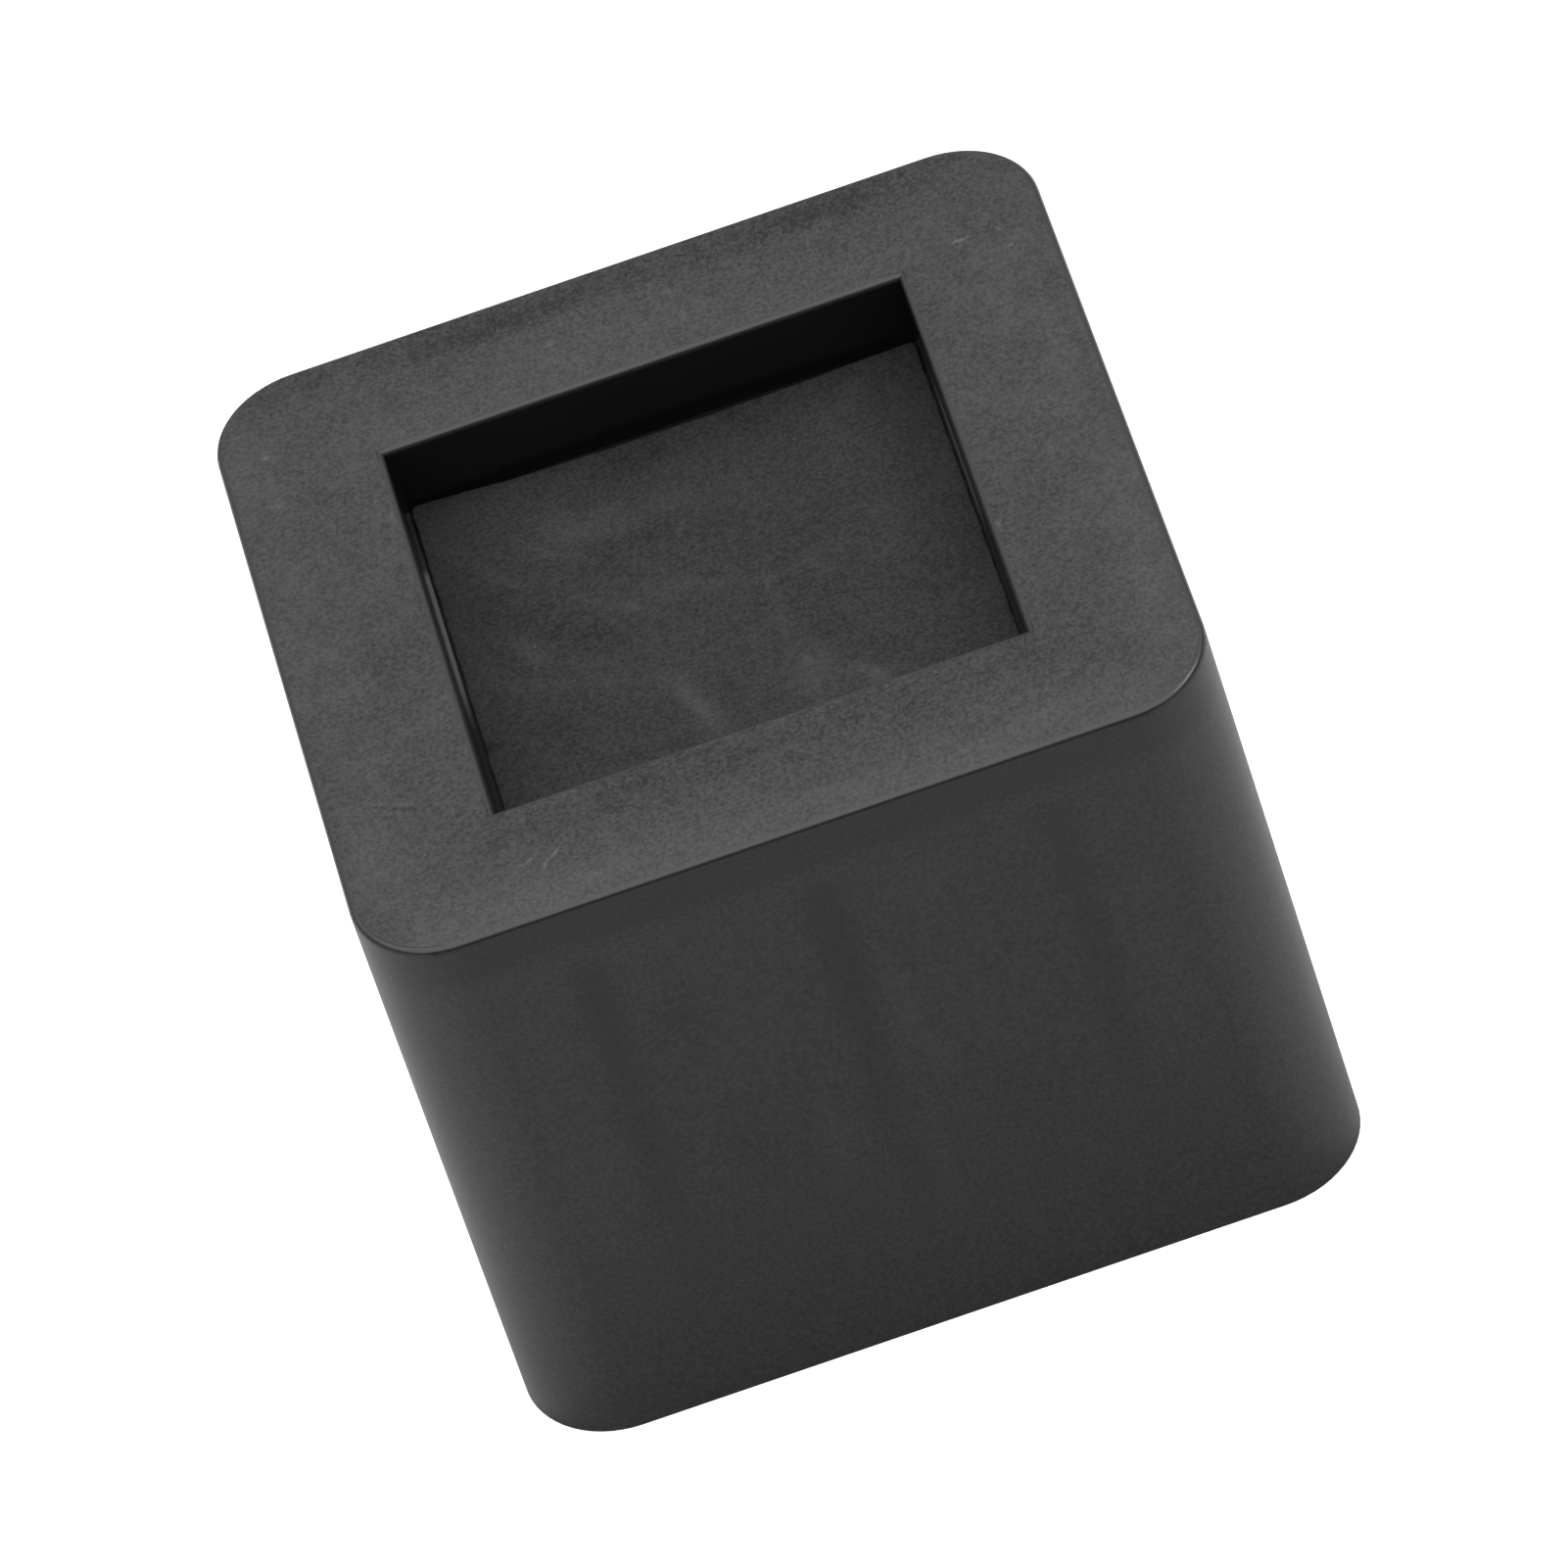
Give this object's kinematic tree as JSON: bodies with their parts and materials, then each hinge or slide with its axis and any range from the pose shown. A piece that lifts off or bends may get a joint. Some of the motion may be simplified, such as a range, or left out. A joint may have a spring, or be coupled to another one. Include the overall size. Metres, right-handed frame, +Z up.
{
  "type": "bed riser",
  "caption": "Square moulded block with a sunk seat and a soft pad in it, for lifting the leg of a bed or other furniture off the floor.",
  "frame": {"origin": "middle of the foot, on the floor", "axes": "+Z up through the middle of the seat, +X to the right along the front face, +Y to the back"},
  "size_m": [0.0964, 0.0964, 0.077],
  "materials": {
    "block_plastic": "black moulded plastic, finely grained on top and satin on the sides",
    "pad_foam": "dark grey closed-cell foam sheet with a dull, faintly mottled face"
  },
  "bodies": {
    "root": {"riser_block": "block_plastic", "recess_pad": "pad_foam"}
  },
  "joints": []
}
